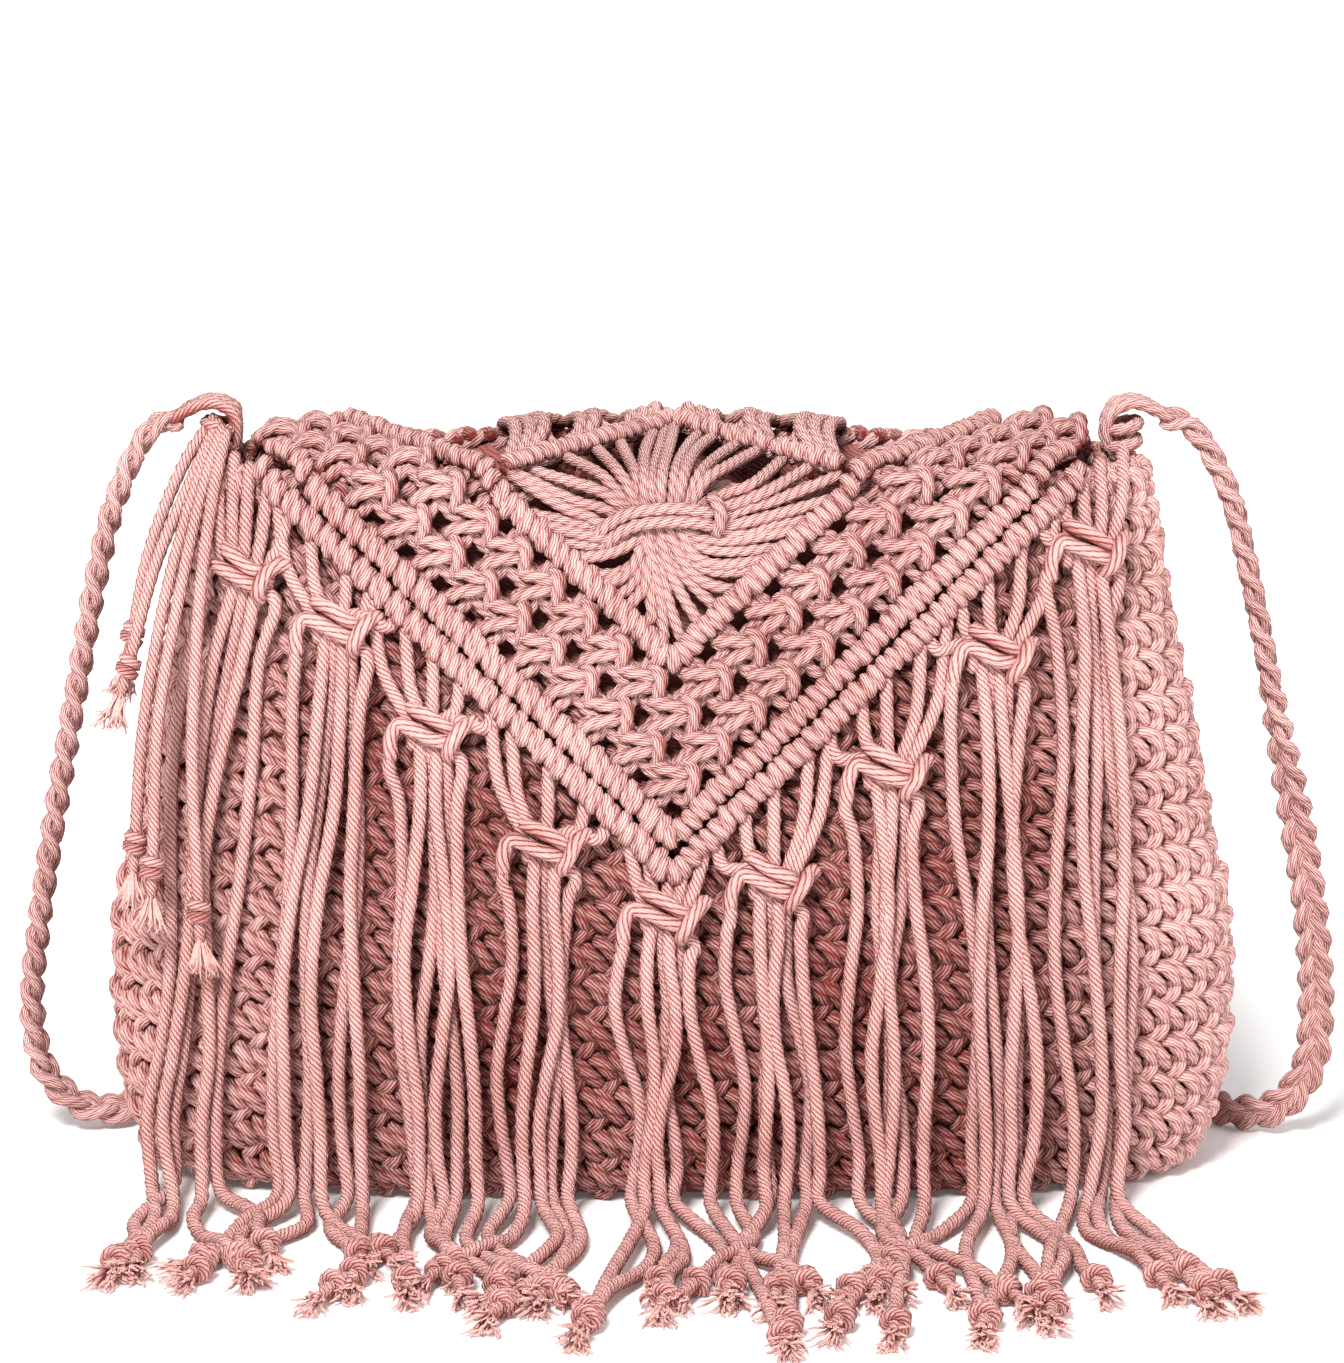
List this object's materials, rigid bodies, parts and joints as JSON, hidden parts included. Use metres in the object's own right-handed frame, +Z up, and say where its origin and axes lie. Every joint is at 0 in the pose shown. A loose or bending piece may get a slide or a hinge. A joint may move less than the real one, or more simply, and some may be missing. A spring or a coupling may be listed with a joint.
{
  "type": "knotted cotton cord crossbody bag",
  "caption": "Crocheted cord pouch with a knotted V flap, a long cord fringe that lies on the floor, and a braided shoulder strap.",
  "frame": {"origin": "centre of the pouch's flat base, on the surface that it stands on", "axes": "+Z up, -Y towards the front with the flap and fringe, +X to the right of someone who looks at the front"},
  "size_m": [0.3378, 0.4164, 0.1957],
  "materials": {
    "crochet_cord": "matt twisted cotton cord, crocheted",
    "flap_cord": "matt twisted cotton cord, knotted",
    "fringe_cord": "matt twisted cotton cord with frayed ends",
    "strap_cord": "matt twisted cotton cord, braided"
  },
  "bodies": {
    "root": {"pouch_body": "crochet_cord", "flap_net": "flap_cord", "flap_loops_left": "flap_cord", "flap_loops_right": "flap_cord", "flap_ridge_outer": "flap_cord", "flap_ridge_second": "flap_cord", "flap_ridge_inner": "flap_cord", "flap_ridge_arch": "flap_cord", "motif_cords": "flap_cord", "motif_band": "flap_cord", "fringe_1": "fringe_cord", "fringe_2": "fringe_cord", "fringe_3": "fringe_cord", "fringe_4": "fringe_cord", "fringe_5": "fringe_cord", "fringe_6": "fringe_cord", "fringe_7": "fringe_cord", "fringe_8": "fringe_cord", "fringe_9": "fringe_cord", "corner_tassel": "fringe_cord", "corner_knot": "strap_cord", "strap": "strap_cord"}
  },
  "joints": []
}
